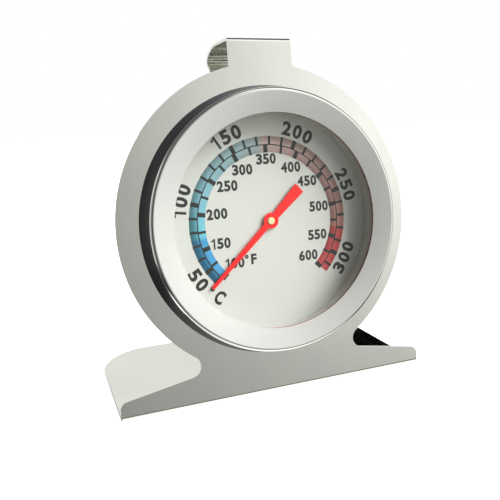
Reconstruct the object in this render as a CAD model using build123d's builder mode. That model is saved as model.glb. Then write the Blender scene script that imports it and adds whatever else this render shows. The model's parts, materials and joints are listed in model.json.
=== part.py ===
from build123d import *
import os
from math import cos, radians, sin, tan

# Oven thermometer: a stamped steel stand that stands on a shelf or hangs from a wire by its
# hook, with a round bimetal thermometer head set through the stand's ring.
# +Z is up, the dial faces -Y, and the origin is at the middle of the base's underside.
# All lengths are in millimetres. A place along the dial's axis is given as its distance in
# front of the stand plate's front face, so it is negative behind the plate.

# ---- stand ----
height = 65.0               # base underside to the top of the hook
foot_width = 61.0
base_depth = 34.0
sheet = 0.5
lean = 5.5                  # degrees that the plate leans back
foot_bend = 1.0             # outer radius of the bend between base and plate
base_corner = 11.0
ring_radius = 28.43
dial_height = 32.55         # along the plate, from its foot line to the dial's axis
foot_end_height = 3.5       # the foot's upper edge at its ends
foot_middle_height = 8.8    # the same straight edge, carried on to the middle
foot_end_corner = 1.3
notch_radius = 2.0          # where the ring runs into the foot
tab_width = 12.1
tab_fillet = 0.5

# ---- hook ----
hook_bend = 0.8             # outer radius where the tab turns back
hook_flat_end = 13.0        # end of the flat top, behind the plate's foot line
hook_sweep_radius = 10.5
hook_sweep_angle = 32.0
hook_curl_radius = 1.4
hook_curl_angle = 114.0
hook_lip = 1.5

# ---- case ----
cup_wall = 0.5
cup_bore = 21.3             # radius of the front part, which holds dial, spacer and glass
cup_step_width = 1.6        # the rear part, which holds the coil, is this much smaller
case_rear = -7.0
flange_front = 3.9
flange_thickness = 0.4
flange_width = 1.2
plate_clearance = 0.1       # between the cup and the hole in the stand
collar_base_width = 2.8     # beyond the cup, where the collar meets the plate
collar_top_width = 1.15     # beyond the cup, under the bezel
collar_clearance = 0.05     # between the collar and the cup
collar_edge = 0.2
retainer_width = 2.5
retainer_thickness = 0.6
retainer_edge = 0.2

# ---- bezel and glass ----
bezel_sheet = 0.35
bezel_clearance = 0.16      # between the bezel's skirt and the cup's flange
bezel_front = 4.75          # foremost edge
bezel_bend = 0.45
crimp_bend = 0.3
crimp_gap = 0.65            # between the cup and the lip rolled behind its flange
opening_radius = 19.27
opening_front = 3.93        # the bezel's face at the opening
seat_clearance = 0.1        # round pieces dropped into the cup
glass_thickness = 1.2
glass_front = 3.3
gasket_thickness = 0.25
gasket_setback = 0.2        # of the gasket's inner edge behind the opening's edge

# ---- dial ----
dial_front = -0.85
dial_thickness = 0.4
spacer_wall = 0.95
seat_gasket_thickness = 0.3
seat_gasket_width = 1.2

# ---- movement ----
staff_radius = 0.4
running_clearance = 0.04
end_gap = 0.05              # end play of the staff
bush_radius = 0.9
bush_flange_radius = 1.25
bush_flange_thickness = 0.15
front_bush_rear = -1.95
rear_bush_front = -5.3
rear_bush_flange_radius = 1.8
rear_bush_bore_depth = 1.1
washer_thickness = 0.2
washer_radius = 1.1
collet_radius = 1.5
collet_length = 2.2

# ---- bimetal coil ----
coil_strip = 0.25
coil_width = 1.8
coil_half_turns = 11
coil_pitch = 1.3            # between neighbouring turns
coil_gap = 0.05             # between the coil's inner end and the collet
anchor_width = 3.0
anchor_thickness = 0.4
anchor_foot = 3.2

# ---- rear cover ----
cover_thickness = 0.5
cover_setback = 0.4         # inside the cup's rear edge
cover_rim_depth = 1.4
cover_rim_wall = 0.5
vent_count = 12
vent_length = 4.4
vent_width = 1.3
vent_circle = 14.5
rivet_radius = 0.6
rivet_head_radius = 1.1
rivet_head_height = 0.3

# ---- pointer ----
pointer_rest_angle = -132.5     # degrees clockwise from the top, at rest
pointer_length = 16.6
pointer_tip_width = 0.62
pointer_tip_round = 0.28
pointer_root_width = 1.3
pointer_tail_length = 8.4
pointer_tail_width = 2.2
pointer_boss_radius = 1.47
pointer_thickness = 0.25
pointer_front = -0.25
hub_radius = 0.66
hub_shoulder_radius = 1.0
hub_front = -0.1
hub_cap = 0.2

# ---- sizes that follow ----
lean_sin = sin(radians(lean))
lean_cos = cos(radians(lean))
bend_inset = foot_bend * (tan(radians(45 + lean / 2)) - 1)
plate_foot_y = -base_depth / 2 - bend_inset
cup_outer = cup_bore + cup_wall
cup_rear_bore = cup_bore - cup_step_width
cup_rear_outer = cup_rear_bore + cup_wall
hole_radius = cup_outer + plate_clearance
flange_radius = cup_outer + flange_width
flange_rear = flange_front - flange_thickness
bezel_radius = flange_radius + bezel_clearance + bezel_sheet
disc_radius = cup_bore - seat_clearance
dial_rear = dial_front - dial_thickness
cup_step = dial_rear - seat_gasket_thickness
glass_rear = glass_front - glass_thickness
bush_bore = staff_radius + running_clearance
bush_front = dial_front + bush_flange_thickness
washer_front = front_bush_rear - end_gap
washer_rear = washer_front - washer_thickness
collet_rear = washer_rear - collet_length
coil_rear = collet_rear + (collet_length - coil_width) / 2
cover_rear = case_rear + cover_setback
cover_front = cover_rear + cover_thickness
bore_floor = rear_bush_front - rear_bush_bore_depth
pointer_rear = pointer_front - pointer_thickness
hub_bore_end = hub_front - hub_cap

# ---- planes ----
plate_plane = Plane(
    origin=(0, plate_foot_y, 0),
    x_dir=(1, 0, 0),
    z_dir=(0, -lean_cos, lean_sin),
)
dial_plane = Plane(
    origin=plate_plane.from_local_coords((0, dial_height, 0)),
    x_dir=(1, 0, 0),
    z_dir=plate_plane.z_dir,
)
pointer_plane = Plane(
    origin=dial_plane.origin,
    x_dir=dial_plane.x_dir.rotate(Axis((0, 0, 0), dial_plane.z_dir), -pointer_rest_angle),
    z_dir=dial_plane.z_dir,
)
dial_axis = Axis(dial_plane.origin, dial_plane.z_dir)
# Half sections of the round pieces: across is the radius, up is the place along the axis.
section_plane = Plane(
    origin=dial_plane.origin,
    x_dir=(1, 0, 0),
    z_dir=(0, -lean_sin, -lean_cos),
)


def sheet_middle(along):
    """Y and Z of the middle of the plate's thickness, a distance up the plate."""
    y = plate_foot_y + along * lean_sin + sheet / 2 * lean_cos
    z = along * lean_cos - sheet / 2 * lean_sin
    return y, z


# One stamping: base, plate with its round ring, tab and hook.
with BuildPart() as stand:
    plate_start = 2 * foot_bend
    foot_corner = sheet / 2 * (1 + lean_sin) / lean_cos
    with BuildSketch(Plane.YZ):
        with BuildLine():
            FilletPolyline(
                (base_depth / 2, sheet / 2),
                sheet_middle(foot_corner),
                sheet_middle(plate_start),
                radius=foot_bend - sheet / 2,
            )
        trace(line_width=sheet)
    extrude(amount=foot_width / 2, both=True)
    fillet(stand.edges().filter_by(Axis.Z).group_by(Axis.Y)[-1], radius=base_corner)

    hook_corner = (height - sheet / 2 * (1 - lean_sin)) / lean_cos
    hook_start = height / lean_cos - hook_bend
    with BuildSketch(plate_plane) as plate_outline:
        with BuildLine():
            Polyline(
                (-foot_width / 2, plate_start),
                (foot_width / 2, plate_start),
                (foot_width / 2, foot_end_height),
                (0, foot_middle_height),
                (-foot_width / 2, foot_end_height),
                close=True,
            )
        make_face()
        with Locations((0, dial_height)):
            Circle(ring_radius)
            Rectangle(tab_width, hook_start - dial_height, align=(Align.CENTER, Align.MIN))
        fillet(plate_outline.vertices().group_by(Axis.Y)[1], radius=foot_end_corner)
        notches = plate_outline.vertices().filter_by_position(
            Axis.Y, foot_end_height + foot_end_corner, foot_middle_height
        )
        fillet(notches, radius=notch_radius)
        fillet(plate_outline.vertices().group_by(Axis.Y)[-2], radius=tab_fillet)
        with Locations((0, dial_height)):
            Circle(hole_radius, mode=Mode.SUBTRACT)
    extrude(amount=-sheet)

    with BuildSketch(Plane.YZ):
        with BuildLine():
            FilletPolyline(
                sheet_middle(hook_start),
                sheet_middle(hook_corner),
                (plate_foot_y + hook_flat_end, height - sheet / 2),
                radius=hook_bend - sheet / 2,
            )
            sweep_arc = JernArc(
                start=(plate_foot_y + hook_flat_end, height - sheet / 2),
                tangent=(1, 0),
                radius=hook_sweep_radius - sheet / 2,
                arc_size=-hook_sweep_angle,
            )
            curl_arc = JernArc(
                start=sweep_arc @ 1,
                tangent=sweep_arc % 1,
                radius=hook_curl_radius - sheet / 2,
                arc_size=-hook_curl_angle,
            )
            Line(curl_arc @ 1, curl_arc @ 1 + (curl_arc % 1) * hook_lip)
        trace(line_width=sheet)
    extrude(amount=tab_width / 2, both=True)

# Drawn cup with a front flange and a step that the dial rests on.
with BuildPart() as case_cup:
    with BuildSketch(section_plane):
        with BuildLine():
            Polyline(
                (cup_bore, flange_front),
                (flange_radius, flange_front),
                (flange_radius, flange_rear),
                (cup_outer, flange_rear),
                (cup_outer, cup_step - cup_wall),
                (cup_rear_outer, cup_step - cup_wall),
                (cup_rear_outer, case_rear),
                (cup_rear_bore, case_rear),
                (cup_rear_bore, cup_step),
                (cup_bore, cup_step),
                close=True,
            )
        make_face()
    revolve(axis=dial_axis)

# Dark conical collar between the stand's plate and the bezel.
with BuildPart() as case_collar:
    with BuildSketch(section_plane) as collar_section:
        with BuildLine():
            Polyline(
                (cup_outer + collar_clearance, 0),
                (cup_outer + collar_base_width, 0),
                (cup_outer + collar_top_width, flange_rear - bezel_sheet),
                (cup_outer + collar_clearance, flange_rear - bezel_sheet),
                close=True,
            )
        make_face()
        fillet(collar_section.vertices().sort_by(Axis.X)[-1], radius=collar_edge)
    revolve(axis=dial_axis)

# Push-on ring that holds the cup in the stand from behind.
with BuildPart() as retaining_ring:
    with BuildSketch(dial_plane.offset(-sheet - retainer_thickness)):
        Circle(cup_outer + retainer_width)
        Circle(cup_outer, mode=Mode.SUBTRACT)
    extrude(amount=retainer_thickness)
    rear_edges = retaining_ring.edges().group_by(dial_axis)[0]
    chamfer(rear_edges.sort_by(SortBy.RADIUS)[-1], length=retainer_edge)

# Spun sheet bezel: a dished face, a short skirt and a lip rolled behind the cup's flange.
with BuildPart() as bezel_ring:
    half_sheet = bezel_sheet / 2
    with BuildSketch(section_plane):
        with BuildLine():
            FilletPolyline(
                (opening_radius, opening_front - half_sheet),
                (bezel_radius - half_sheet, bezel_front - half_sheet),
                (bezel_radius - half_sheet, flange_rear - half_sheet),
                (cup_outer + crimp_gap, flange_rear - half_sheet),
                radius=(bezel_bend, crimp_bend),
            )
        trace(line_width=bezel_sheet)
    revolve(axis=dial_axis)

with BuildPart() as glass_lens:
    with BuildSketch(dial_plane.offset(glass_rear)):
        Circle(disc_radius)
    extrude(amount=glass_thickness)

# Heat resistant seal between the glass and the bezel.
with BuildPart() as glass_gasket:
    with BuildSketch(dial_plane.offset(glass_front)):
        Circle(disc_radius)
        Circle(opening_radius + gasket_setback, mode=Mode.SUBTRACT)
    extrude(amount=gasket_thickness)

# Sleeve that keeps the glass off the dial; its bore is the visible wall round the dial.
with BuildPart() as spacer_ring:
    with BuildSketch(dial_plane.offset(dial_front)):
        Circle(disc_radius)
        Circle(disc_radius - spacer_wall, mode=Mode.SUBTRACT)
    extrude(amount=glass_rear - dial_front)

with BuildPart() as dial_plate:
    with BuildSketch(dial_plane.offset(dial_rear)):
        Circle(disc_radius)
        Circle(bush_radius, mode=Mode.SUBTRACT)
    extrude(amount=dial_thickness)

# Soft ring under the dial, on the cup's step.
with BuildPart() as dial_seat_gasket:
    with BuildSketch(dial_plane.offset(cup_step)):
        Circle(disc_radius)
        Circle(disc_radius - seat_gasket_width, mode=Mode.SUBTRACT)
    extrude(amount=seat_gasket_thickness)

# Brass eyelet in the dial that the staff turns in.
with BuildPart() as front_bush:
    with BuildSketch(section_plane):
        with BuildLine():
            Polyline(
                (bush_bore, front_bush_rear),
                (bush_radius, front_bush_rear),
                (bush_radius, dial_front),
                (bush_flange_radius, dial_front),
                (bush_flange_radius, bush_front),
                (bush_bore, bush_front),
                close=True,
            )
        make_face()
    revolve(axis=dial_axis)

# Blind brass bearing in the rear cover.
with BuildPart() as rear_bush:
    with BuildSketch(section_plane):
        with BuildLine():
            Polyline(
                (0, cover_rear),
                (bush_radius, cover_rear),
                (bush_radius, cover_front),
                (rear_bush_flange_radius, cover_front),
                (rear_bush_flange_radius, cover_front + bush_flange_thickness),
                (bush_radius, cover_front + bush_flange_thickness),
                (bush_radius, rear_bush_front),
                (bush_bore, rear_bush_front),
                (bush_bore, bore_floor),
                (0, bore_floor),
                close=True,
            )
        make_face()
    revolve(axis=dial_axis)

# The staff carries the pointer in front and the coil's collet behind.
with BuildPart() as staff:
    with BuildSketch(dial_plane.offset(bore_floor + end_gap)):
        Circle(staff_radius)
    extrude(amount=hub_bore_end - bore_floor - end_gap)

with BuildPart() as thrust_washer:
    with BuildSketch(dial_plane.offset(washer_rear)):
        Circle(washer_radius)
        Circle(staff_radius, mode=Mode.SUBTRACT)
    extrude(amount=washer_thickness)

with BuildPart() as coil_collet:
    with BuildSketch(dial_plane.offset(collet_rear)):
        Circle(collet_radius)
        Circle(staff_radius, mode=Mode.SUBTRACT)
    extrude(amount=collet_length)

# Bimetal strip wound as half circles that grow by half a pitch, with a straight tail that lies
# against the anchor.
with BuildPart() as bimetal_coil:
    with BuildSketch(dial_plane.offset(coil_rear)):
        with BuildLine():
            turn_radius = collet_radius + coil_gap + coil_strip / 2
            turn_start = Vector(turn_radius, 0)
            turn_heading = Vector(0, 1)
            for half_turn in range(coil_half_turns):
                turn = JernArc(turn_start, turn_heading, turn_radius, 180)
                turn_radius += coil_pitch / 2
                turn_start = turn @ 1
                turn_heading = turn % 1
            coil_tail = Line(turn_start, turn_start + turn_heading * anchor_width)
        trace(line_width=coil_strip)
    extrude(amount=coil_width)

# Bent bracket on the rear cover that holds the coil's outer end.
with BuildPart() as coil_anchor:
    tail_end = coil_tail @ 1
    anchor_face = tail_end.X - coil_strip / 2
    rivet_x = anchor_face - anchor_thickness - anchor_foot / 2
    rivet_y = tail_end.Y + anchor_width / 2
    foot_align = (Align.MAX, Align.MIN)
    with BuildSketch(dial_plane.offset(cover_front)):
        with Locations((anchor_face, tail_end.Y)):
            Rectangle(anchor_thickness + anchor_foot, anchor_width, align=foot_align)
        with Locations((rivet_x, rivet_y)):
            Circle(rivet_radius, mode=Mode.SUBTRACT)
    extrude(amount=anchor_thickness)
    with BuildSketch(dial_plane.offset(cover_front)):
        with Locations((anchor_face, tail_end.Y)):
            Rectangle(anchor_thickness, anchor_width, align=foot_align)
    extrude(amount=coil_rear + coil_width - cover_front)

with BuildPart() as anchor_rivet:
    rivet_shank = cover_thickness + anchor_thickness
    for head_rear in (cover_rear - rivet_head_height, cover_rear + rivet_shank):
        with BuildSketch(dial_plane.offset(head_rear)):
            with Locations((rivet_x, rivet_y)):
                Circle(rivet_head_radius)
        extrude(amount=rivet_head_height)
    with BuildSketch(dial_plane.offset(cover_rear)):
        with Locations((rivet_x, rivet_y)):
            Circle(rivet_radius)
    extrude(amount=rivet_shank)

# Shallow cap pressed into the cup's rear end, with a ring of slots that let the air in.
with BuildPart() as rear_cover:
    with BuildSketch(dial_plane.offset(cover_rear)):
        Circle(cup_rear_bore)
        Circle(bush_radius, mode=Mode.SUBTRACT)
        with Locations((rivet_x, rivet_y)):
            Circle(rivet_radius, mode=Mode.SUBTRACT)
        with PolarLocations(vent_circle, vent_count, start_angle=180 / vent_count):
            SlotOverall(vent_length, vent_width, mode=Mode.SUBTRACT)
    extrude(amount=cover_thickness)
    with BuildSketch(dial_plane.offset(cover_front)):
        Circle(cup_rear_bore)
        Circle(cup_rear_bore - cover_rim_wall, mode=Mode.SUBTRACT)
    extrude(amount=cover_rim_depth - cover_thickness)

# Stamped red pointer: a tapering blade, a round boss and a flared tail.
with BuildPart() as pointer:
    with BuildSketch(pointer_plane.offset(pointer_rear)) as pointer_outline:
        with BuildLine():
            Polyline(
                (pointer_root_width / 2, 0),
                (pointer_tip_width / 2, pointer_length),
                (-pointer_tip_width / 2, pointer_length),
                (-pointer_root_width / 2, 0),
                (-pointer_tail_width / 2, -pointer_tail_length),
                (pointer_tail_width / 2, -pointer_tail_length),
                close=True,
            )
        make_face()
        fillet(pointer_outline.vertices().group_by(Axis.Y)[-1], radius=pointer_tip_round)
        Circle(pointer_boss_radius)
        Circle(hub_radius, mode=Mode.SUBTRACT)
    extrude(amount=pointer_thickness)

# Pale brass hub: a blind bush pressed on the staff, with the pointer staked on its shoulder.
with BuildPart() as pointer_hub:
    hub_rear = bush_front + end_gap
    with BuildSketch(section_plane):
        with BuildLine():
            Polyline(
                (staff_radius, hub_rear),
                (hub_shoulder_radius, hub_rear),
                (hub_shoulder_radius, pointer_rear),
                (hub_radius, pointer_rear),
                (hub_radius, hub_front),
                (0, hub_front),
                (0, hub_bore_end),
                (staff_radius, hub_bore_end),
                close=True,
            )
        make_face()
    revolve(axis=dial_axis)

pieces = {
    "stand": stand,
    "case_cup": case_cup,
    "case_collar": case_collar,
    "retaining_ring": retaining_ring,
    "bezel_ring": bezel_ring,
    "glass_lens": glass_lens,
    "glass_gasket": glass_gasket,
    "spacer_ring": spacer_ring,
    "dial_plate": dial_plate,
    "dial_seat_gasket": dial_seat_gasket,
    "front_bush": front_bush,
    "rear_bush": rear_bush,
    "staff": staff,
    "thrust_washer": thrust_washer,
    "coil_collet": coil_collet,
    "bimetal_coil": bimetal_coil,
    "coil_anchor": coil_anchor,
    "anchor_rivet": anchor_rivet,
    "rear_cover": rear_cover,
    "pointer": pointer,
    "pointer_hub": pointer_hub,
}

os.makedirs("parts", exist_ok=True)
for name, piece in pieces.items():
    piece.part.label = name
    export_step(piece.part, f"parts/{name}.step")
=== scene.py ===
import json
from math import atan2, cos, degrees, hypot, pi, radians, sin, sqrt, tan

import bmesh
import bpy
from mathutils import Matrix, Vector


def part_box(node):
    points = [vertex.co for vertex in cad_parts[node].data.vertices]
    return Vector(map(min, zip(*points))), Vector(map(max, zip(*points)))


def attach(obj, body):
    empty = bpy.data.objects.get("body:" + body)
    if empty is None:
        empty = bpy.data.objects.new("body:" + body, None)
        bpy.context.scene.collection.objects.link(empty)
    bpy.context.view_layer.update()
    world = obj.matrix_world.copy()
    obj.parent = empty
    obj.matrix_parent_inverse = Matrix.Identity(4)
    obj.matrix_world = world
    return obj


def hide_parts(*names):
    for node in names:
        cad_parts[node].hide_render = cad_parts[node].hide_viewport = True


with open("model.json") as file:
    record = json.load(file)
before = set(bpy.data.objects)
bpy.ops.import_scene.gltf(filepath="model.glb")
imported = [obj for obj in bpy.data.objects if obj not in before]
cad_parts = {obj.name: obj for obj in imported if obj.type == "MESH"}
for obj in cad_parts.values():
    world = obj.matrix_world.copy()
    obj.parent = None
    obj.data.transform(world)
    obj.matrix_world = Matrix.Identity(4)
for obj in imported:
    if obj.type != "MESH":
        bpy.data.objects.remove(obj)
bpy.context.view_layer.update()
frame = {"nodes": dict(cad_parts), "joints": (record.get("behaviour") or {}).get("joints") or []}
nodes = frame["nodes"]

# ---- Stand ----
# One stamping of half millimetre stainless sheet: the base, the plate with its round ring, the
# tab and the hook. It is cut and bent in one press, then tumbled, which rounds the cut edges.
MM = 0.001
hinge = frame["joints"][0]
dial_centre = Vector(hinge["pos_m"])
sideways = Vector((1, 0, 0))
outwards = -Vector(hinge["axis"])
upwards = outwards.cross(sideways)
dial_axes = Matrix((sideways, upwards, outwards)).transposed().to_4x4()
dial_axes.translation = dial_centre
plate_tilt = atan2(upwards.z, upwards.y)


class Wire:
    """A socket in a finish's node tree. Sums on it add Math nodes, and node() adds any other."""

    def __init__(self, tree, socket=None):
        self.tree = tree
        self.socket = socket

    def node(self, kind, settings=None, sockets=None, out=0):
        made = self.tree.nodes.new(kind)
        for setting, value in (settings or {}).items():
            if setting == "stops":
                stops = made.color_ramp.elements
                while len(stops) < len(value):
                    stops.new(1.0)
                for stop, (position, colour) in zip(stops, value):
                    stop.position = position
                    stop.color = colour
            else:
                setattr(made, setting, value)
        for key, value in (sockets or {}).items():
            if isinstance(value, Wire):
                self.tree.links.new(value.socket, made.inputs[key])
            else:
                made.inputs[key].default_value = value
        return Wire(self.tree, made.outputs[out] if len(made.outputs) else None)

    def math(self, operation, first, second=0.0):
        return self.node("ShaderNodeMath", {"operation": operation}, {0: first, 1: second})

    def __add__(self, other):
        return self.math("ADD", self, other)

    def __sub__(self, other):
        return self.math("SUBTRACT", self, other)

    def __rsub__(self, other):
        return self.math("SUBTRACT", other, self)

    def __mul__(self, other):
        return self.math("MULTIPLY", self, other)

    def __truediv__(self, other):
        return self.math("DIVIDE", self, other)

    def __rtruediv__(self, other):
        return self.math("DIVIDE", other, self)

    def __neg__(self):
        return self.math("MULTIPLY", self, -1.0)

    __radd__ = __add__
    __rmul__ = __mul__

    def parts(self):
        """The three numbers of a vector."""
        split = self.node("ShaderNodeSeparateXYZ", None, {0: self}).socket.node
        return [Wire(self.tree, socket) for socket in split.outputs]

    def vector(self, x, y, z):
        return self.node("ShaderNodeCombineXYZ", None, {0: x, 1: y, 2: z})

    def times(self, x, y, z):
        """A vector stretched by three numbers."""
        return self.node("ShaderNodeVectorMath", {"operation": "MULTIPLY"}, {0: self, 1: (x, y, z)})

    def noise(self, scale, detail=3.0, roughness=0.55):
        """Cloudy values between 0 and 1 at this vector."""
        return self.node(
            "ShaderNodeTexNoise",
            {"noise_dimensions": "3D"},
            {"Vector": self, "Scale": scale, "Detail": detail, "Roughness": roughness},
        )

    def between(self, low, high, low_out=0.0, high_out=1.0):
        """This value carried smoothly from one range to another."""
        return self.node(
            "ShaderNodeMapRange",
            {"interpolation_type": "SMOOTHSTEP"},
            {"Value": self, "From Min": low, "From Max": high, "To Min": low_out,
             "To Max": high_out},
        )

    def blend(self, first, second):
        """One colour at 0 and the other at 1."""
        return self.node(
            "ShaderNodeMix", {"data_type": "RGBA"}, {0: self, 6: first, 7: second}, out=2
        )

    def bump(self, strength, depth):
        """A normal that rises and falls with this value."""
        return self.node(
            "ShaderNodeBump", None, {"Strength": strength, "Distance": depth, "Height": self}
        )


def new_finish(name):
    """A material with an empty tree, and the wire that its nodes start from."""
    material = bpy.data.materials.new(name)
    material.use_nodes = True
    material.node_tree.nodes.clear()
    return material, Wire(material.node_tree)


def coat(wire, sockets):
    """The one surface shader of a finish, joined to its output."""
    surface = wire.node("ShaderNodeBsdfPrincipled", None, sockets)
    wire.node("ShaderNodeOutputMaterial", None, {"Surface": surface})


def dial_place(wire):
    """Millimetres from the dial's centre: across, up the plate, and out of the dial."""
    point = wire.node("ShaderNodeTexCoord", out="Object")
    return wire.node(
        "ShaderNodeMapping",
        {"vector_type": "TEXTURE"},
        {
            "Vector": point,
            "Location": dial_centre,
            "Rotation": (plate_tilt, 0, 0),
            "Scale": (MM, MM, MM),
        },
    )


def round_place(wire):
    """Millimetres out from the dial's axis, turns round it, and millimetres along it."""
    across, up, out = dial_place(wire).parts()
    radius = wire.math("SQRT", across * across + up * up)
    turns = wire.math("ARCTAN2", across, up) / (2 * pi)
    return radius, turns, out


def steel(name, colour, roughness, spun=False, lines=9.0, depth=0.0012, haze=0.04):
    """Stainless steel with the fine lines of the rolls, or of the spinning tool.

    There are so many lines in a millimetre, so many millimetres deep, and haze dulls it in clouds.
    """
    material, wire = new_finish(name)
    breaks_round, breaks_along = 9.0, 0.3       # how often a line ends, in a turn or a millimetre
    warmer, cooler = 1.03, (0.965, 0.972, 0.99)
    cloud_part, line_part = 0.6, 0.4
    if spun:
        radius, turns, out = round_place(wire)
        lay = wire.vector(radius * lines, turns * breaks_round, out * lines)
    else:
        lay = dial_place(wire).times(lines, breaks_along, breaks_along)
    fine = lay.noise(1.0, 4.0, 0.6)
    cloud = dial_place(wire).noise(0.11, 3.0, 0.5)
    warm = tuple(c * warmer for c in colour[:3]) + (1,)
    cool = tuple(c * less for c, less in zip(colour, cooler)) + (1,)
    tone = fine.between(0.25, 0.75)
    mottle = cloud.between(0.3, 0.7) * cloud_part + tone * line_part
    shine = cloud.between(0.3, 0.75, roughness, roughness + haze)
    coat(
        wire,
        {
            "Base Color": mottle.blend(cool, warm),
            "Metallic": 1.0,
            "Roughness": shine + tone * (haze * 0.5),
            "Normal": fine.bump(0.35, depth * MM),
        },
    )
    return material


def link(name, mesh):
    """A new object in the scene, at the origin."""
    piece = bpy.data.objects.new(name, mesh)
    bpy.context.scene.collection.objects.link(piece)
    return piece


def made_plain(piece, name):
    """The piece as its modifiers leave it, as one plain mesh in a new object."""
    seen = piece.evaluated_get(bpy.context.evaluated_depsgraph_get())
    mesh = bpy.data.meshes.new_from_object(seen)
    mesh.name = name
    old = piece.data
    bpy.data.objects.remove(piece)
    if isinstance(old, bpy.types.Mesh):
        bpy.data.meshes.remove(old)
    return link(name, mesh)


weld = 0.0005 * MM              # points nearer than this are one
flat = radians(0.3)             # faces that turn by less than this are one
round_from = radians(28)        # edges that turn by more than this are rounded


def deburred(node, name, radius, finish):
    """A copy of a CAD node's mesh with its sharp edges rounded over."""
    shape = bmesh.new()
    shape.from_mesh(nodes[node].data)
    bmesh.ops.remove_doubles(shape, verts=shape.verts, dist=weld)
    bmesh.ops.dissolve_limit(
        shape, angle_limit=flat, verts=shape.verts, edges=shape.edges, delimit=set()
    )
    for face in shape.faces:
        face.smooth = True
    mesh = bpy.data.meshes.new(name)
    shape.to_mesh(mesh)
    shape.free()
    mesh.materials.append(finish)
    return rounded(link(name + "_raw", mesh), name, radius)


def rounded(piece, name, radius):
    """The piece with its sharp edges rounded, to a radius in millimetres, as one plain mesh."""
    rounding = piece.modifiers.new("rounding", "BEVEL")
    rounding.width = radius * MM
    rounding.segments = 2
    rounding.limit_method = "ANGLE"
    rounding.angle_limit = round_from
    return shaded(piece, name)


def shaded(piece, name):
    """The piece as one plain mesh, its corners shaded by its larger faces, so flats stay flat."""
    shading = piece.modifiers.new("shading", "WEIGHTED_NORMAL")
    shading.mode = "FACE_AREA"
    shading.weight = 100
    shading.thresh = 0.001
    shading.keep_sharp = True
    return made_plain(piece, name)


# The blank's sizes, in millimetres and degrees. Heights on the plate are measured along its slope
# from the foot line. The hook runs back nearly level, sweeps down and ends in a tight curl.
stand_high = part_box("stand")[1]
half_width, half_depth, height = stand_high.x / MM, stand_high.y / MM, stand_high.z / MM
sheet = 0.5
dial_height = 32.55
ring_radius, hole_radius = 28.43, 21.9
foot_bend, base_corner = 1.0, 11.0
foot_end, foot_slope, foot_corner = 3.5, 5.3, 1.3
notch, tab_notch, half_tab = 2.0, 0.5, 6.05
hook_bend, hook_flat = 0.8, 13.0
hook_sweep, hook_sweep_turn = 10.5, 32.0
hook_curl, hook_curl_turn, hook_lip = 1.4, 114.0, 1.5
lean = pi / 2 - plate_tilt
foot_tangent = foot_bend / tan((pi / 2 - lean) / 2)
foot_line = -half_depth - foot_tangent + foot_bend
plate_start = 2.0
hook_tangent = hook_bend / tan((pi / 2 + lean) / 2)
plate_end = height / cos(lean) - hook_tangent


def swing(centre, radius, start, end, step=4.0):
    """Points along an arc, its angles in degrees from the first axis to the second."""
    count = max(2, round(abs(end - start) / step) + 1)
    turns = [radians(start + (end - start) * i / (count - 1)) for i in range(count)]
    return [(centre[0] + radius * cos(t), centre[1] + radius * sin(t)) for t in turns]


def heading(centre, point):
    """The direction from one point to another, in degrees."""
    return degrees(atan2(point[1] - centre[1], point[0] - centre[0]))


# Half of the plate's outline, from the foot's lower corner up to the tab's top. The foot's sloping
# top edge meets the ring in a small hollow corner, found where an arc touches them both.
slope_length = hypot(half_width, foot_slope)
slope_up = (foot_slope / slope_length, half_width / slope_length)
slope_in = (-slope_up[1], slope_up[0])
corner_centre = (half_width - foot_corner,
                 foot_end - foot_corner * (1 - slope_up[0]) / slope_up[1])
outline = [(half_width, plate_start)]
outline += swing(corner_centre, foot_corner, 0, heading((0, 0), slope_up), step=9.0)
ring_centre = (0.0, dial_height)
start = (half_width + slope_up[0] * notch, foot_end + slope_up[1] * notch - dial_height)
along = -(start[0] * slope_in[0] + start[1] * slope_in[1])
travel = along - sqrt(along**2 - start[0]**2 - start[1]**2 + (ring_radius + notch)**2)
notch_centre = (start[0] + slope_in[0] * travel, start[1] + slope_in[1] * travel + dial_height)
outline += swing(notch_centre, notch, heading(slope_up, (0, 0)),
                 heading(notch_centre, ring_centre) - 360, step=7.0)
tab_centre_up = sqrt((ring_radius + tab_notch)**2 - (half_tab + tab_notch)**2)
tab_centre = (half_tab + tab_notch, dial_height + tab_centre_up)
outline += swing(ring_centre, ring_radius, heading(ring_centre, notch_centre),
                 heading(ring_centre, tab_centre), step=1.5)[1:]
outline += swing(tab_centre, tab_notch, heading(tab_centre, ring_centre), -180, step=15.0)[1:]
outline.append((half_tab, plate_end))

seam = 0.001 * MM               # the plate and the bends' rows meet within this
blank = bmesh.new()


def on_plate(across, up):
    """A corner of the blank on the plate's sloping face."""
    return blank.verts.new(
        (across * MM, (foot_line + up * sin(lean)) * MM, up * cos(lean) * MM)
    )


right_side = [on_plate(x, y) for x, y in outline]
left_side = [on_plate(-x, y) for x, y in outline]
loop = right_side + left_side[::-1]
hole = [on_plate(x, y) for x, y in swing(ring_centre, hole_radius, 0, 358.5, step=1.5)]
edges = [blank.edges.new(pair) for ring in (loop, hole) for pair in zip(ring, ring[1:] + ring[:1])]
bmesh.ops.triangle_fill(blank, use_beauty=True, edges=edges, normal=outwards)


def strip(first, side, rows):
    """Sheet bent over rows of (depth, height), on from the two corners given; gives its end."""
    last = first
    for depth, rise in rows:
        row = [blank.verts.new((x * MM, depth * MM, rise * MM)) for x in (-side, side)]
        blank.faces.new((last[0], last[1], row[1], row[0]))
        last = row
    return last


lean_turn = degrees(lean)
foot_rows = swing((foot_line + foot_tangent, foot_bend), foot_bend, 180 - lean_turn, 270,
                  step=6.0)
base_front = strip((left_side[0], right_side[0]), half_width, foot_rows)
rear = half_depth - base_corner
base_edge = swing((half_width - base_corner, rear), base_corner, 0, 90, step=3.0)
base_edge += [(-x, y) for x, y in reversed(base_edge)]
rim = [blank.verts.new((x * MM, y * MM, 0)) for x, y in base_edge]
blank.faces.new((base_front[0], base_front[1], *rim))

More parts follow.
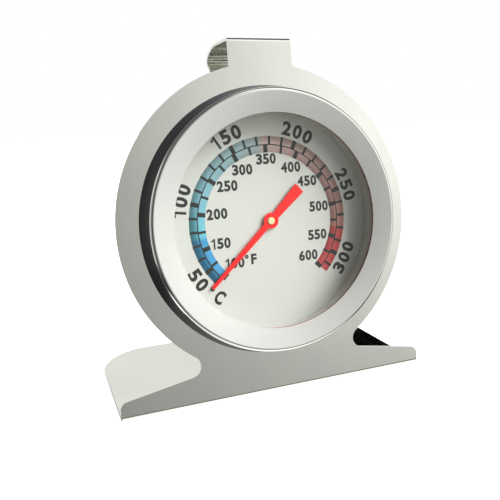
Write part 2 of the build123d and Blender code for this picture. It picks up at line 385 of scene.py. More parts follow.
front_of = foot_line + plate_end * sin(lean) + hook_bend * cos(lean)
hook_rows = swing((front_of, height - hook_bend), hook_bend, 180 - lean_turn, 90, step=7.0)[1:]
sweep_end = 90 - hook_sweep_turn
hook_rows += swing((foot_line + hook_flat, height - hook_sweep), hook_sweep, 90, sweep_end,
                   step=2.0)
curl_centre = (hook_rows[-1][0] - hook_curl * cos(radians(sweep_end)),
               hook_rows[-1][1] - hook_curl * sin(radians(sweep_end)))
curl_end = sweep_end - hook_curl_turn
hook_rows += swing(curl_centre, hook_curl, sweep_end, curl_end, step=5.0)[1:]
hook_rows.append((hook_rows[-1][0] + sin(radians(curl_end)) * hook_lip,
                  hook_rows[-1][1] - cos(radians(curl_end)) * hook_lip))
strip((right_side[-1], left_side[-1]), -half_tab, hook_rows)
bmesh.ops.remove_doubles(blank, verts=blank.verts, dist=seam)
bmesh.ops.recalc_face_normals(blank, faces=blank.faces)
# The plate faces forwards, and the sheet's thickness goes back from it.
if sum(face.normal.y * face.calc_area() for face in blank.faces) > 0:
    bmesh.ops.reverse_faces(blank, faces=blank.faces)
for face in blank.faces:
    face.smooth = True
mesh = bpy.data.meshes.new("stand_blank")
blank.to_mesh(mesh)
blank.free()
stand_steel = steel(
    "satin_sheet_steel", (0.80, 0.808, 0.75, 1), 0.09, lines=2.5, depth=0.0001, haze=0.03
)
mesh.materials.append(stand_steel)
pressing = link("stand_blank", mesh)
gauge = pressing.modifiers.new("gauge", "SOLIDIFY")
gauge.thickness = sheet * MM
gauge.offset = -1.0
gauge.use_even_offset = True
stand = rounded(pressing, "stand_stamping", 0.06)
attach(stand, "case_and_stand")
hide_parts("stand")

# ---- Cup, retaining ring and rear cover ----
# The cup is drawn from thin stainless sheet and holds the whole movement. A push-on ring keeps it
# in the stand from behind, and a pressed cover with twelve radial vents closes its back.
case_steel = steel(
    "drawn_case_steel", (0.66, 0.67, 0.66, 1), 0.2, spun=True, lines=5.0, depth=0.003
)
cover_steel = steel("pressed_cover_steel", (0.7, 0.7, 0.68, 1), 0.24, lines=4.0, depth=0.003)
for node, name, radius, finish in (
    ("case_cup", "case_cup_drawn", 0.08, case_steel),
    ("retaining_ring", "retaining_ring_pressed", 0.05, case_steel),
    ("rear_cover", "rear_cover_vented", 0.07, cover_steel),
):
    piece = deburred(node, name, radius, finish)
    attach(piece, "case_and_stand")
    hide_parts(node)

# ---- Collar ----
# A dark painted cone that fills the gap between the plate and the bezel. It is pressed on the cup
# before the bezel goes on.
collar_colours = (0.035, 0.037, 0.040, 1), (0.052, 0.052, 0.060, 1)
collar_rings = 6.0              # faint rings in a millimetre, and breaks in them in a turn
collar_paint, wire = new_finish("dark_collar_paint")
grit = dial_place(wire).noise(26.0, 2.0)
radius, turns, out = round_place(wire)
ring_mark = wire.vector(
    radius * collar_rings, turns * collar_rings, out * collar_rings
).noise(1.0, 3.0)
coat(
    wire,
    {
        "Base Color": ring_mark.between(0.3, 0.7).blend(*collar_colours),
        "Metallic": 0.15,
        "Roughness": grit.between(0.2, 0.8, 0.24, 0.36),
        "Normal": grit.bump(0.3, 0.01 * MM),
    },
)
collar = deburred("case_collar", "case_collar_painted", 0.06, collar_paint)
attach(collar, "case_and_stand")
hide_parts("case_collar")

# ---- Movement: bushes, staff, washer, collet and coil ----
# A bimetal strip is wound from a collet on the staff out to a bracket on the rear cover, and turns
# the staff as it warms. Two brass bushes carry the staff.


def brass(name, colour, roughness, metallic=1.0):
    """Turned brass, with the rings that the tool leaves."""
    material, wire = new_finish(name)
    radius, turns, out = round_place(wire)
    tool_lines, breaks_round, tarnish = 22.0, 3.0, 0.86
    rings = wire.vector(
        radius * tool_lines, turns * breaks_round, out * tool_lines
    ).noise(1.0, 3.0)
    dull = dial_place(wire).noise(0.9, 3.0)
    dark = tuple(c * tarnish for c in colour[:3]) + (1,)
    coat(
        wire,
        {
            "Base Color": dull.between(0.3, 0.7).blend(colour, dark),
            "Metallic": metallic,
            "Roughness": dull.between(0.3, 0.75, roughness, roughness + 0.1),
            "Normal": rings.bump(0.4, 0.004 * MM),
        },
    )
    return material


turned_brass = brass("turned_brass", (0.72, 0.52, 0.22, 1), 0.24)
ground_steel = steel("ground_staff_steel", (0.62, 0.62, 0.61, 1), 0.18, spun=True, lines=16.0)
bimetal_colours = (0.52, 0.47, 0.38, 1), (0.43, 0.40, 0.37, 1)
bimetal_strip, wire = new_finish("rolled_bimetal")
roll = dial_place(wire).times(1.0, 1.0, 14.0).noise(1.0, 4.0)
heat = dial_place(wire).noise(0.35, 2.0)
coat(
    wire,
    {
        "Base Color": heat.between(0.3, 0.7).blend(*bimetal_colours),
        "Metallic": 1.0,
        "Roughness": roll.between(0.2, 0.8, 0.26, 0.4),
        "Normal": roll.bump(0.4, 0.006 * MM),
    },
)
fixed, turning = "case_and_stand", "pointer_and_staff"
for node, name, radius, finish, body, slot in (
    ("front_bush", "front_bush_brass", 0.03, turned_brass, fixed, "brass"),
    ("rear_bush", "rear_bush_brass", 0.04, turned_brass, fixed, "brass"),
    ("coil_anchor", "coil_anchor_bracket", 0.05, cover_steel, fixed, "case_steel"),
    ("anchor_rivet", "anchor_rivet_closed", 0.08, ground_steel, fixed, "rivet"),
    ("staff", "staff_ground", 0.04, ground_steel, turning, "staff_steel"),
    ("thrust_washer", "thrust_washer_steel", 0.03, ground_steel, turning, "staff_steel"),
    ("coil_collet", "coil_collet_brass", 0.05, turned_brass, turning, "brass"),
    ("bimetal_coil", "bimetal_coil_wound", 0.02, bimetal_strip, fixed, "bimetal"),
):
    piece = deburred(node, name, radius, finish)
    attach(piece, body)
    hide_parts(node)

# ---- Seat ring under the dial ----
# A thin black rubber ring on the cup's step, which takes up the slack when the bezel is crimped.
rubber_colours = (0.022, 0.022, 0.022, 1), (0.036, 0.035, 0.034, 1)
seat_rubber, wire = new_finish("seat_rubber")
bloom = dial_place(wire).noise(2.2, 4.0)
grain = dial_place(wire).noise(18.0, 2.0)
coat(
    wire,
    {
        "Base Color": bloom.between(0.3, 0.7).blend(*rubber_colours),
        "Roughness": bloom.between(0.3, 0.7, 0.62, 0.78),
        "Normal": grain.bump(0.4, 0.01 * MM),
    },
)
seat = deburred("dial_seat_gasket", "dial_seat_ring", 0.05, seat_rubber)
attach(seat, "case_and_stand")
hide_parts("dial_seat_gasket")

# ---- Dial ----
# An aluminium disc with a pale silver lacquer, brushed outwards from its middle so lightly that
# only the sheen shows it. The scales are screen printed on it.
lacquer_colours = (0.73, 0.725, 0.68, 1), (0.76, 0.755, 0.71, 1)
strokes_out, strokes_round = 0.35, 60.0
dial_silver, wire = new_finish("pale_silver_lacquer")
radius, turns, out = round_place(wire)
brushing = wire.vector(
    radius * strokes_out,
    wire.math("SINE", turns * (2 * pi)) * strokes_round,
    wire.math("COSINE", turns * (2 * pi)) * strokes_round,
).noise(1.0, 3.0)
flake = dial_place(wire).noise(34.0, 2.0)
coat(
    wire,
    {
        "Base Color": flake.between(0.3, 0.7).blend(*lacquer_colours),
        "Metallic": 0.15,
        "Roughness": brushing.between(0.25, 0.75, 0.4, 0.43),
        "Normal": flake.bump(0.1, 0.001 * MM),
    },
)
dial = deburred("dial_plate", "dial_disc", 0.04, dial_silver)
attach(dial, "case_and_stand")
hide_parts("dial_plate")

# ---- Scale band ----
# A printed ring from cold blue to hot red that carries both scales. It is a film of ink on the
# lacquer, so it stands only hundredths of a millimetre proud.
dial_face = max((dial_axes.inverted() @ v.co).z for v in nodes["dial_plate"].data.vertices)
band_outer, band_middle, band_inner = 15.53 * MM, 13.99 * MM, 12.59 * MM
band_film = 0.015 * MM
degrees_at_zero, degrees_per_celsius = -170.89, 0.9683
coldest, hottest = 100, 600     # Fahrenheit, the band's two ends
arc_points = 241
NUMBER, WHOLE, INK = "NodeSocketFloat", "NodeSocketInt", "NodeSocketMaterial"


def scale_angle(celsius):
    """Degrees clockwise from the top of the dial at this temperature."""
    return degrees_at_zero + degrees_per_celsius * celsius


def celsius_of(fahrenheit):
    return (fahrenheit - 32) / 1.8


def new_maker(name, sizes):
    """A geometry tree, the wire its nodes start from, and its named inputs."""
    tree = bpy.data.node_groups.new(name, "GeometryNodeTree")
    for label, kind in sizes.items():
        tree.interface.new_socket(label, in_out="INPUT", socket_type=kind)
    tree.interface.new_socket("Geometry", in_out="OUTPUT", socket_type="NodeSocketGeometry")
    inlet = tree.nodes.new("NodeGroupInput")
    return tree, Wire(tree), {s.name: Wire(tree, s) for s in inlet.outputs if s.name}


def end_maker(wire, shape, ink):
    """Realize Instances and Set Material, which every maker ends in."""
    real = wire.node("GeometryNodeRealizeInstances", None, {"Geometry": shape})
    inked = wire.node("GeometryNodeSetMaterial", None, {"Geometry": real, "Material": ink})
    wire.node("NodeGroupOutput", None, {"Geometry": inked})


def grown(tree, values, name):
    """A plain mesh on the dial from a maker, with its inputs set before it is first worked out."""
    holder = link(name + "_seed", bpy.data.meshes.new(name + "_seed"))
    maker = holder.modifiers.new("maker", "NODES")
    maker.node_group = tree
    for item in tree.interface.items_tree:
        if item.in_out == "INPUT":
            maker[item.identifier] = values[item.name]
    piece = made_plain(holder, name)
    piece.data.transform(dial_axes)
    return piece


arc_maker, wire, size = new_maker(
    "printed_arc",
    {"Radius": NUMBER, "Width": NUMBER, "Film": NUMBER, "Level": NUMBER, "Start": NUMBER,
     "Sweep": NUMBER, "Ink": INK},
)
arc = wire.node(
    "GeometryNodeCurveArc", None,
    {"Resolution": arc_points, "Radius": size["Radius"], "Start Angle": size["Start"],
     "Sweep Angle": size["Sweep"]},
)
level_arc = wire.node("GeometryNodeSetCurveNormal", {"mode": "Z_UP"}, {"Curve": arc})
section = wire.node(
    "GeometryNodeCurvePrimitiveQuadrilateral", None,
    {"Width": size["Width"], "Height": size["Film"]},
)
film = wire.node(
    "GeometryNodeCurveToMesh", None,
    {"Curve": level_arc, "Profile Curve": section, "Fill Caps": True},
)
rise = wire.vector(0.0, 0.0, size["Level"] + size["Film"] / 2)
laid = wire.node("GeometryNodeTransform", None, {"Geometry": film, "Translation": rise})
end_maker(wire, laid, size["Ink"])


def printed_arc(name, radius, width, thickness, ink):
    """A film of ink along the scale, from its cold end to its hot one."""
    start, end = (scale_angle(celsius_of(f)) for f in (coldest, hottest))
    return grown(
        arc_maker,
        {"Radius": radius, "Width": width, "Film": thickness, "Level": dial_face,
         "Start": radians(90 - start), "Sweep": -radians(end - start), "Ink": ink},
        name,
    )


band_ink, wire = new_finish("scale_band_ink")
radius, turns, out = round_place(wire)
celsius_here = (turns * 360.0 - degrees_at_zero) / degrees_per_celsius
# The band's colour at each temperature in Celsius: deep blue, paler blues, dull pinks, then red.
ink_stops = (
    (0.0, (0.030, 0.245, 0.47)),
    (73.0, (0.030, 0.245, 0.47)),
    (76.0, (0.11, 0.43, 0.53)),
    (110.0, (0.22, 0.48, 0.56)),
    (171.0, (0.42, 0.51, 0.52)),
    (174.0, (0.66, 0.49, 0.46)),
    (205.0, (0.63, 0.42, 0.39)),
    (278.0, (0.52, 0.225, 0.20)),
    (281.0, (0.62, 0.075, 0.08)),
    (330.0, (0.62, 0.075, 0.08)),
)
full_scale = ink_stops[-1][0]
tint = wire.node(
    "ShaderNodeValToRGB",
    {"stops": [(t / full_scale, colour + (1,)) for t, colour in ink_stops]},
    {"Fac": celsius_here / full_scale},
)
thin_ink, bare_colour = 0.1, (0.75, 0.75, 0.72, 1)
screen = dial_place(wire).noise(9.0, 3.0)
coat(
    wire,
    {
        "Base Color": (screen.between(0.3, 0.8) * thin_ink).blend(tint, bare_colour),
        "Metallic": 0.1,
        "Roughness": screen.between(0.25, 0.75, 0.36, 0.46),
        "Normal": screen.bump(0.25, 0.003 * MM),
    },
)
band = printed_arc(
    "scale_band_print", (band_outer + band_inner) / 2, band_outer - band_inner, band_film, band_ink
)
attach(band, "case_and_stand")

# ---- Graduations ----
# Dark lines printed over the band: every 10 degrees Celsius on its outer track and every 25
# Fahrenheit on its inner one, wider at each labelled step, with a fine circle between the tracks.
ink_colours = (0.030, 0.030, 0.028, 1), (0.042, 0.041, 0.038, 1)
dark_ink, wire = new_finish("dark_print_ink")
screen = dial_place(wire).noise(11.0, 3.0)
coat(
    wire,
    {
        "Base Color": screen.between(0.3, 0.8).blend(*ink_colours),
        "Roughness": screen.between(0.25, 0.75, 0.4, 0.55),
        "Normal": screen.bump(0.25, 0.003 * MM),
    },
)
line_maker, wire, size = new_maker(
    "graduations",
    {"Count": WHOLE, "First angle": NUMBER, "Step": NUMBER, "Inner": NUMBER, "Outer": NUMBER,
     "Thin": NUMBER, "Wide": NUMBER, "Wide every": NUMBER, "Wide from": NUMBER, "Film": NUMBER,
     "Level": NUMBER, "Ink": INK},
)
index = wire.node("GeometryNodeInputIndex")
angle = size["First angle"] + index * size["Step"]
middle = (size["Inner"] + size["Outer"]) / 2
place = wire.vector(
    wire.math("SINE", angle) * middle,
    wire.math("COSINE", angle) * middle,
    size["Level"] + size["Film"] / 2,
)
points = wire.node("GeometryNodePoints", None, {"Count": size["Count"], "Position": place})
beat = wire.math("FLOORED_MODULO", index - size["Wide from"], size["Wide every"])
labelled = wire.math("LESS_THAN", beat, 0.5)
breadth = size["Thin"] + labelled * (size["Wide"] - size["Thin"])
stroke = wire.node("GeometryNodeMeshCube", None, {"Size": (1.0, 1.0, 1.0)})
strokes = wire.node(
    "GeometryNodeInstanceOnPoints", None,
    {"Points": points, "Instance": stroke, "Rotation": wire.vector(0.0, 0.0, -angle),
     "Scale": wire.vector(breadth, size["Outer"] - size["Inner"], size["Film"])},
)
end_maker(wire, strokes, size["Ink"])
line_film, thin_line, wide_line, circle_line = 0.03 * MM, 0.46 * MM, 0.8 * MM, 0.2 * MM
line_outer, line_inner = band_outer + 0.04 * MM, band_inner - 0.05 * MM
# Each track's name, number of lines, first and second line in Celsius, edges, and wide lines.
for name, count, first, second, inner, outer, every, begin in (
    ("celsius_graduations", 28, 40, 50, band_middle, line_outer, 5, 1),
    ("fahrenheit_graduations", 21, celsius_of(100), celsius_of(125), line_inner, band_middle, 2, 0),
):
    lines = grown(
        line_maker,
        {"Count": count, "First angle": radians(scale_angle(first)),
         "Step": radians(scale_angle(second) - scale_angle(first)),
         "Inner": inner, "Outer": outer, "Thin": thin_line, "Wide": wide_line,
         "Wide every": float(every), "Wide from": float(begin), "Film": line_film,
         "Level": dial_face, "Ink": dark_ink},
        name,
    )
    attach(lines, "case_and_stand")
circle_film = line_film * 0.8
circle = printed_arc("track_circle", band_middle, circle_line, circle_film, dark_ink)
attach(circle, "case_and_stand")

# ---- Numerals ----
# Narrow bold figures in the same dark ink: Celsius round the outside, turned with the scale, and
# Fahrenheit upright inside it.
figure_film = 0.02 * MM


def stem_one():
    """The figure 1 with its flag, one unit high and one thick."""
    edge = ((0.27, 0), (0.45, 0), (0.45, 1), (0.31, 1), (0.26, 0.91), (0.16, 0.85), (0.02, 0.82),
            (0.02, 0.68), (0.15, 0.7), (0.27, 0.75))
    count = len(edge)
    points = [(x, y, z) for z in (-0.5, 0.5) for x, y in edge]
    faces = [tuple(reversed(range(count))), tuple(range(count, 2 * count))]
    faces += [(i, (i + 1) % count, (i + 1) % count + count, i + count) for i in range(count)]
    mesh = bpy.data.meshes.new("figure_one")
    mesh.from_pydata(points, [], faces)
    return mesh


def figure(mark, height, width, film):
    """A flat printed mark as a mesh, centred, of this height and this width."""
    if mark == "1":
        mesh = stem_one()
    else:
        letters = bpy.data.curves.new("figure", "FONT")
        letters.body = mark
        letters.offset = 0.04       # fattens the strokes
        letters.extrude = 0.5
        letters.resolution_u = 6
        holder = link("figure", letters)
        mesh = bpy.data.meshes.new_from_object(
            holder.evaluated_get(bpy.context.evaluated_depsgraph_get())
        )
        bpy.data.objects.remove(holder)
        bpy.data.curves.remove(letters)
    low = [min(v.co[i] for v in mesh.vertices) for i in range(3)]
    high = [max(v.co[i] for v in mesh.vertices) for i in range(3)]
    mesh.transform(Matrix.Translation([-(a + b) / 2 for a, b in zip(low, high)]))
    span = [b - a for a, b in zip(low, high)]
    mesh.transform(Matrix.Diagonal((width / span[0], height / span[1], film / span[2], 1)))
    return mesh


def printed_marks(name, marks):
    """One piece of several marks, each with its height, width, place and turn on the dial."""
    print_run = bmesh.new()
    for mark, height, width, across, up, turn in marks:
        mesh = figure(mark, height * MM, width * MM, figure_film)
        spot = Matrix.Translation((across * MM, up * MM, dial_face + figure_film / 2))
        mesh.transform(dial_axes @ spot @ Matrix.Rotation(-radians(turn), 4, "Z"))
        print_run.from_mesh(mesh)
        bpy.data.meshes.remove(mesh)
    bmesh.ops.remove_doubles(print_run, verts=print_run.verts, dist=weld)
    bmesh.ops.recalc_face_normals(print_run, faces=print_run.faces)
    mesh = bpy.data.meshes.new(name)
    print_run.to_mesh(mesh)
    print_run.free()
    mesh.materials.append(dark_ink)
    piece = link(name, mesh)
    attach(piece, "case_and_stand")


def round_the_dial(mark, height, width, radius, angle, tops_out):
    """A mark turned with the scale, its top away from the dial's middle or towards it."""
    across, up = radius * sin(radians(angle)), radius * cos(radians(angle))
    return mark, height, width, across, up, angle + (0 if tops_out else 180)


# Sizes in millimetres and degrees: a step is from one figure's middle to the next.
celsius_radius, celsius_step, celsius_height, celsius_width = 17.35, 7.4, 2.6, 1.8
narrow_one = 0.62               # how much narrower the figure 1 is
degree_sign = "\u00b0"
celsius_marks = []
for celsius, tops_out in ((100, True), (150, True), (200, True), (250, True), (300, False)):
    way = 1 if tops_out else -1
    for place, digit in enumerate(str(celsius)):
        angle = scale_angle(celsius) + way * celsius_step * (place - 1)
        width = celsius_width * (narrow_one if digit == "1" else 1)
        celsius_marks.append(
            round_the_dial(digit, celsius_height, width, celsius_radius, angle, tops_out)
        )
# The cold end stands apart. Each mark has its height, width, radius and angle.
for mark, height, width, radius, angle in (
    ("5", celsius_height, celsius_width, 17.4, -118.9),
    ("0", celsius_height, celsius_width, 17.4, -126.3),
    (degree_sign, 0.85, 0.85, 16.6, -133.2),
    ("C", celsius_height, 1.75, 17.0, -140.2),
):
    celsius_marks.append(round_the_dial(mark, height, width, radius, angle, False))
printed_marks("celsius_numerals", celsius_marks)

fahrenheit_height, fahrenheit_width, fahrenheit_step = 1.95, 1.2, 1.35
fahrenheit_marks = [
    (degree_sign, 0.75, 0.75, -5.15, -6.2, 0),
    ("F", fahrenheit_height, 1.1, -3.75, -6.75, 0),
]
# Each reading, with the radius and the angle of its middle figure.
for fahrenheit, radius, angle in (
    (100, 10.4, -133.0), (150, 10.5, -108.0), (200, 10.4, -78.3), (250, 10.5, -48.4),
    (300, 10.8, -26.1), (350, 11.4, 0.1), (400, 10.8, 27.0), (450, 10.6, 49.7),
    (500, 10.4, 79.5), (550, 10.2, 110.1), (600, 10.4, 134.5),
):
    for place, digit in enumerate(str(fahrenheit)):
        across = radius * sin(radians(angle)) + fahrenheit_step * (place - 1)
        width = fahrenheit_width * (narrow_one if digit == "1" else 1)
        up = radius * cos(radians(angle))
        fahrenheit_marks.append((digit, fahrenheit_height, width, across, up, 0))
printed_marks("fahrenheit_numerals", fahrenheit_marks)

# ---- Pointer ----
# A stamped aluminium hand in bright red enamel, with a tapered finger, a round boss and a flat
# tail, pressed on a turned hub with a pale brass pin.
enamel_colours = (0.96, 0.022, 0.021, 1), (0.99, 0.030, 0.029, 1)
red_enamel, wire = new_finish("bright_red_enamel")
pool = dial_place(wire).noise(0.8, 3.0)
peel = dial_place(wire).noise(7.0, 2.0)
coat(
    wire,
    {
        "Base Color": pool.between(0.3, 0.7).blend(*enamel_colours),
        "Roughness": peel.between(0.25, 0.75, 0.38, 0.46),
        "Specular IOR Level": 0.3,
        "Normal": peel.bump(0.2, 0.004 * MM),
    },
)
pointer = deburred("pointer", "pointer_hand", 0.05, red_enamel)
pin_brass = brass("pale_pin_brass", (0.99, 0.93, 0.5, 1), 0.3, metallic=0.25)
hub = deburred("pointer_hub", "pointer_pin", 0.06, pin_brass)
for piece, node, slot in ((pointer, "pointer", "pointer_red"), (hub, "pointer_hub", "hub_brass")):
    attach(piece, "pointer_and_staff")
    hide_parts(node)

# ---- Spacer ring ----
# A rolled sleeve painted satin grey, which keeps the glass off the dial. Its bore is the wall
# that shows round the dial.
spacer_colours = (0.56, 0.56, 0.53, 1), (0.64, 0.64, 0.61, 1)
marks_along, marks_round = 9.0, 40.0
spacer_paint, wire = new_finish("spacer_grey")
radius, turns, out = round_place(wire)
drawn = wire.vector(out * marks_along, turns * marks_round, radius).noise(1.0, 3.0)
coat(
    wire,
    {
        "Base Color": drawn.between(0.3, 0.7).blend(*spacer_colours),
        "Metallic": 0.3,
        "Roughness": drawn.between(0.25, 0.75, 0.3, 0.4),
        "Normal": drawn.bump(0.25, 0.004 * MM),
    },
)
spacer = deburred("spacer_ring", "spacer_sleeve", 0.04, spacer_paint)
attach(spacer, "case_and_stand")
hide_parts("spacer_ring")

# ---- Glass and its seal ----
# A tempered glass disc with a ground edge lies on the spacer, under a dark red silicone ring that
# stays soft in the oven.
reflecting = 0.35               # the part of plain glass's reflection that shows
glass, wire = new_finish("tempered_glass")
wipe = dial_place(wire).noise(0.09, 2.0)
clear = wire.node("ShaderNodeBsdfTransparent", None, {"Color": (0.985, 0.995, 0.99, 1)})
gloss = wire.node(
    "ShaderNodeBsdfPrincipled", None,
    {"Base Color": (0.9, 0.95, 0.93, 1), "Metallic": 1.0,
     "Roughness": wipe.between(0.3, 0.7, 0.015, 0.04)},
)
sheen = wire.node("ShaderNodeFresnel", None, {"IOR": 1.45})
pane = wire.node("ShaderNodeMixShader", None, {0: sheen * reflecting, 1: clear, 2: gloss})
wire.node("ShaderNodeOutputMaterial", None, {"Surface": pane})
lens = deburred("glass_lens", "glass_disc", 0.12, glass)
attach(lens, "case_and_stand")
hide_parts("glass_lens")

silicone_colours = (0.20, 0.010, 0.014, 1), (0.27, 0.016, 0.019, 1)
silicone, wire = new_finish("dark_red_silicone")
mould = dial_place(wire).noise(3.0, 4.0)
coat(
    wire,
    {
        "Base Color": mould.between(0.3, 0.7).blend(*silicone_colours),
        "Roughness": mould.between(0.25, 0.75, 0.42, 0.58),
        "Normal": mould.bump(0.3, 0.008 * MM),
    },
)


turned_steps = 240
stays_sharp = radians(32)       # edges that turn by more than this are shaded sharp


def turned(name, section, finish):
    """A closed section, in millimetres out from the dial's axis and along it, carried round it."""
    steps, count = turned_steps, len(section)
    points = [
        dial_axes @ (Vector((r * cos(turn), r * sin(turn), z)) * MM)
        for turn in (2 * pi * i / steps for i in range(steps)) for r, z in section
    ]
    faces = [
        tuple((i + across) % steps * count + (k + along) % count
              for across, along in ((0, 0), (0, 1), (1, 1), (1, 0)))
        for i in range(steps) for k in range(count)
    ]
    mesh = bpy.data.meshes.new(name)
    mesh.from_pydata(points, [], faces)
    shape = bmesh.new()
    shape.from_mesh(mesh)
    bmesh.ops.recalc_face_normals(shape, faces=shape.faces)
    for face in shape.faces:
        face.smooth = True
    shape.to_mesh(mesh)
    shape.free()
    mesh.set_sharp_from_angle(angle=stays_sharp)
    mesh.materials.append(finish)
    return shaded(link(name + "_raw", mesh), name)


seal_bore, seal_rim, seal_rear, seal_front = 19.31, 21.2, 3.3, 3.55
seal_section = [(seal_bore, seal_rear), (seal_rim, seal_rear), (seal_rim, seal_front),
                (seal_bore, seal_front)]
seal = turned("glass_seal", seal_section, silicone)
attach(seal, "case_and_stand")
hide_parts("glass_gasket")

# ---- Bezel ----
# Spun from thin stainless sheet over a former, so its satin lines run round it. It is dropped over
# the glass, and its lip is rolled behind the cup's flange.
bezel_steel = steel("spun_bezel_steel", (0.835, 0.84, 0.80, 1), 0.08, spun=True, depth=0.0006)
bezel_gauge, bezel_bends = 0.35, (0.45, 0.3)
# The sheet's middle line: its bore, up the cone, round the rim, and in along the lip.
mid_sheet = [(19.27, 3.755), (23.335, 4.575), (23.335, 3.325), (22.45, 3.325)]


def bent_sheet(corners, bends, gauge):
    """The outline of a sheet that turns clockwise at each inner corner of its middle line."""
    turns = [heading(a, b) for a, b in zip(corners, corners[1:])]
    turns = [turn - 360 if turn > 90 else turn for turn in turns]
    sides = []
    for half in (gauge / 2, -gauge / 2):
        side = swing(corners[0], half, turns[0] + 90, turns[0] + 90)[:1]
        for corner, bend, before, after in zip(corners[1:], bends, turns, turns[1:]):
            back = bend * tan(radians(before - after) / 2)
            along, left = radians(before), radians(before + 90)
            centre = (corner[0] - back * cos(along) - bend * cos(left),
                      corner[1] - back * sin(along) - bend * sin(left))
            side += swing(centre, bend + half, before + 90, after + 90, step=9.0)
        side += swing(corners[-1], half, turns[-1] + 90, turns[-1] + 90)[:1]
        sides.append(side)
    return sides[0] + sides[1][::-1]


bezel = turned("bezel_spun", bent_sheet(mid_sheet, bezel_bends, bezel_gauge), bezel_steel)
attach(bezel, "case_and_stand")
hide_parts("bezel_ring")

# ---- Studio ----
# A pale floor and a soft room, with its window at the front right, a dark flag at the left and a
# dark ceiling. One large soft lamp is on the window's side, and a black card stands behind.
scene = bpy.context.scene
scene.view_settings.view_transform = "Standard"
paper_colours = (0.93, 0.93, 0.93, 1), (0.945, 0.945, 0.94, 1)
floor_material, wire = new_finish("pale_floor")
paper = wire.node("ShaderNodeTexCoord", out="Object").noise(3.0, 2.0)
coat(
    wire,
    {
        "Base Color": paper.between(0.3, 0.7).blend(*paper_colours),
        "Roughness": paper.between(0.3, 0.7, 0.7, 0.8),
        "Specular IOR Level": 0.1,
        "Emission Color": (1.0, 1.0, 1.0, 1),
        "Emission Strength": 0.75,
    },
)


def stage_sheet(name, corners, material):
    """A flat sheet that isn't part of the object."""
    mesh = bpy.data.meshes.new(name)
    mesh.from_pydata(corners, [], [tuple(range(len(corners)))])
    mesh.materials.append(material)
    piece = link(name, mesh)
    return piece


half_floor = 30.0
floor = stage_sheet(
    "floor",
    [(x * half_floor, y * half_floor, 0) for x, y in ((-1, -1), (1, -1), (1, 1), (-1, 1))],
    floor_material,
)
floor.visible_glossy = False
floor.visible_diffuse = False

card_colours = (0.0, 0.0, 0.0, 1), (0.002, 0.002, 0.002, 1)
black_card, wire = new_finish("black_card")
nap = wire.node("ShaderNodeTexCoord", out="Object").noise(40.0, 2.0)
coat(
    wire,
    {
        "Base Color": nap.between(0.3, 0.7).blend(*card_colours),
        "Roughness": 1.0,
        "Specular IOR Level": 0.0,
    },
)
card_far, card_low, card_high = 1.0, 0.22, 0.75
card_left, card_right = radians(19), radians(58)
card_corners = [(card_left, card_low), (card_right, card_low), (card_right, card_high),
                (card_left, card_high)]
card = stage_sheet(
    "card", [(sin(a) * card_far, cos(a) * card_far, z) for a, z in card_corners], black_card
)
card.visible_camera = False

# The room by direction. Bearings are in degrees to the right of the front, and rise is the sine of
# the height above the horizon. Each pair is where an edge of a light or dark patch begins and ends.
world = bpy.data.worlds.new("room")
scene.world = world
world.use_nodes = True
world.node_tree.nodes.clear()
wire = Wire(world.node_tree)
wall_light, window_light, back_light, ground_light = 0.32, 0.93, 0.9, 0.8
flag_shade, ceiling_shade, skirting_shade = 0.92, 0.85, 0.85
window_foot, window_top, diffuse_fill = 0.26, 1.1, 1.3
across, away, rise = wire.node("ShaderNodeTexCoord", out="Generated").parts()
bearing = wire.math("ARCTAN2", across, -away) * (180 / pi)
window = bearing.between(-4.0, 44.0) * bearing.between(52.0, 76.0, 1.0, 0.0)
window = window * rise.between(-0.34, 0.2, window_foot, window_top)
left_flag = bearing.between(-10.0, -28.0) * bearing.between(-60.0, -42.0)
front = (window * window_light + wall_light) * (1.0 - left_flag * flag_shade)
behind = away.between(-0.15, 0.35)
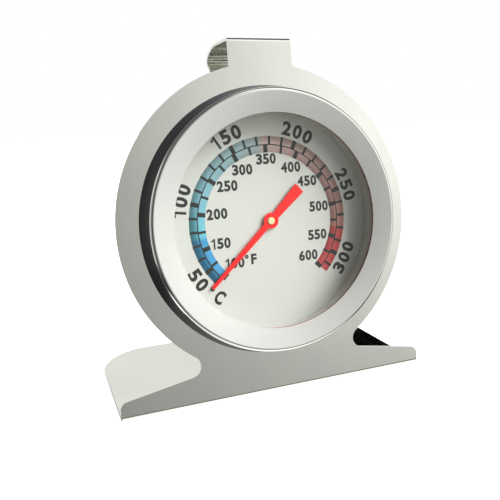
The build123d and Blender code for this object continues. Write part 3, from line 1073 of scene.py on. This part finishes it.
ceiling = rise.between(0.5, 0.65) * away.between(-0.3, 0.0)
skirting = rise.between(-0.36, -0.42) * rise.between(-0.66, -0.6)
below = rise.between(-0.6, -0.7)
level = front * (1.0 - behind) + behind * back_light
level = level * (1.0 - ceiling * ceiling_shade) * (1.0 - skirting * skirting_shade)
level = level + below * ground_light
fill = wire.node("ShaderNodeLightPath", out="Is Diffuse Ray").between(0.0, 1.0, 1.0, diffuse_fill)
warm_white, plain_white = (1.0, 1.0, 0.975, 1), (1.0, 1.0, 1.0, 1)
room = wire.node("ShaderNodeBackground", None, {"Color": warm_white, "Strength": level * fill})
backdrop = wire.node("ShaderNodeBackground", None, {"Color": plain_white, "Strength": 1.0})
seen = wire.node("ShaderNodeLightPath", out="Is Camera Ray")
wire.node(
    "ShaderNodeOutputWorld", None,
    {"Surface": wire.node("ShaderNodeMixShader", None, {0: seen, 1: room, 2: backdrop})},
)

lamp_bearing, lamp_rise = radians(62), 0.85
lamp_data = bpy.data.lights.new("soft_lamp", "SUN")
lamp_data.energy = 8.5
lamp_data.angle = radians(44)
lamp = bpy.data.objects.new("soft_lamp", lamp_data)
scene.collection.objects.link(lamp)
lamp_from = Vector((sin(lamp_bearing), -cos(lamp_bearing), lamp_rise))
lamp.rotation_euler = lamp_from.to_track_quat("Z", "Y").to_euler()
lamp.visible_glossy = False

camera_place = Vector((-41.24, -112.54, 49.26)) * MM
look, dip, roll = 0.3566, 0.205, -0.0399        # to the right, downwards, and turned, in radians
camera_data = bpy.data.cameras.new("camera")
camera_data.sensor_width = 36.0
camera_data.lens = 42.1
camera_data.clip_start = 0.005
camera = bpy.data.objects.new("camera", camera_data)
scene.collection.objects.link(camera)
forward = Vector((sin(look) * cos(dip), cos(look) * cos(dip), -sin(dip)))
level_right = Vector((cos(look), -sin(look), 0))
level_up = level_right.cross(forward)
right = level_right * cos(roll) + level_up * sin(roll)
up = level_up * cos(roll) - level_right * sin(roll)
camera.matrix_world = Matrix((right, up, -forward)).transposed().to_4x4()
camera.location = camera_place
scene.camera = camera
